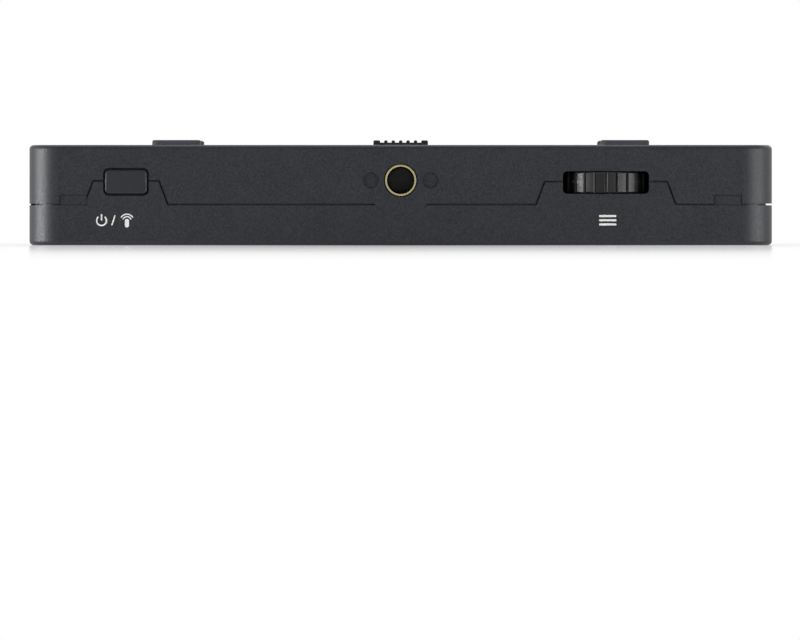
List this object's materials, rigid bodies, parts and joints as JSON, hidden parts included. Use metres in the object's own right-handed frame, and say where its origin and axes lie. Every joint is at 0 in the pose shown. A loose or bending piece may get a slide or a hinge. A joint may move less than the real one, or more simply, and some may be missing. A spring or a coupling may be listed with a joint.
{
  "type": "camera field monitor",
  "caption": "Slim on-camera video monitor with a two-shell black case, thread inserts, power button, pressable menu wheel, edge sockets and a battery bay with a sprung latch.",
  "frame": {"origin": "middle of the bottom of the box round the monitor as it lies on its screen", "axes": "+X along the long side, +Y to the edge with the card slot, +Z out of the back"},
  "size_m": [0.151, 0.0932, 0.0214],
  "materials": {
    "case_plastic": "fine grained black moulding",
    "black_screw": "blackened steel",
    "foot_rubber": "matt grey rubber",
    "brass": "turned",
    "cover_glass": "polished",
    "adhesive": "black tape",
    "panel_glass": "dark display",
    "backlight_frame": "plain",
    "sheet_steel": "zinc plated sheet",
    "steel_screw": "plain",
    "circuit_board": "solder mask",
    "chip": "moulded",
    "thermal_pad": "soft",
    "aluminium": "plain",
    "connector_plastic": "moulded",
    "flat_cable": "film",
    "key_plastic": "fine grained black moulding",
    "switch_plunger": "moulded",
    "socket_plastic": "moulded",
    "wheel_plastic": "satin",
    "axle_steel": "turned",
    "socket_steel": "stamped sheet",
    "nickel": "nickel plated",
    "spring_steel": "plain",
    "gold_contact": "gold plated",
    "print_ink": "pad printed white"
  },
  "bodies": {
    "case": {"front_bezel": "case_plastic", "rear_cover": "case_plastic", "case_screws": "black_screw", "rubber_feet": "foot_rubber", "thread_insert_top": "brass", "thread_insert_bottom": "brass", "cover_glass": "cover_glass", "glass_adhesive": "adhesive", "lcd_panel": "panel_glass", "backlight_unit": "backlight_frame", "chassis_plate": "sheet_steel", "chassis_screws": "steel_screw", "main_board": "circuit_board", "board_screws": "steel_screw", "image_processor": "chip", "thermal_pad": "thermal_pad", "heat_spreader": "aluminium", "flex_connector": "connector_plastic", "display_flex": "flat_cable", "power_switch": "socket_plastic", "wheel_base": "socket_plastic", "wheel_switch": "socket_plastic", "sd_socket_base": "socket_plastic", "sd_socket_shell": "socket_steel", "dc_jack_housing": "socket_plastic", "dc_jack_pin": "nickel", "dc_jack_spring": "spring_steel", "headphone_jack": "socket_plastic", "hdmi_in_shell": "nickel", "hdmi_in_insulator": "socket_plastic", "hdmi_out_shell": "nickel", "hdmi_out_insulator": "socket_plastic", "latch_spring": "spring_steel", "latch_retainer": "sheet_steel", "latch_screws": "steel_screw", "battery_contact_block": "socket_plastic", "battery_contacts": "gold_contact"},
    "power_key": {"power_button": "key_plastic", "power_switch_plunger": "switch_plunger"},
    "wheel_carriage": {"wheel_carrier": "socket_plastic", "wheel_axle": "axle_steel", "wheel_switch_plunger": "switch_plunger"},
    "menu_wheel": {"menu_wheel": "wheel_plastic"},
    "battery_latch": {"battery_latch": "key_plastic"}
  },
  "joints": [
    {"name": "power_press", "type": "slide", "parent": "case", "child": "power_key", "axis": [0, 1, 0], "range_m": [0, 0.0005], "stiffness_N_per_m": 3000},
    {"name": "wheel_press", "type": "slide", "parent": "case", "child": "wheel_carriage", "axis": [0, 1, 0], "range_m": [0, 0.0005], "stiffness_N_per_m": 3000},
    {"name": "menu_wheel_spin", "type": "hinge", "parent": "wheel_carriage", "child": "menu_wheel", "pos_m": [0.0417, -0.0382, 0.01276], "axis": [0, 0, 1], "continuous": true},
    {"name": "latch_press", "type": "slide", "parent": "case", "child": "battery_latch", "axis": [0, 0, -1], "range_m": [0, 0.0042], "stiffness_N_per_m": 800, "deforming": ["latch_spring"]}
  ]
}
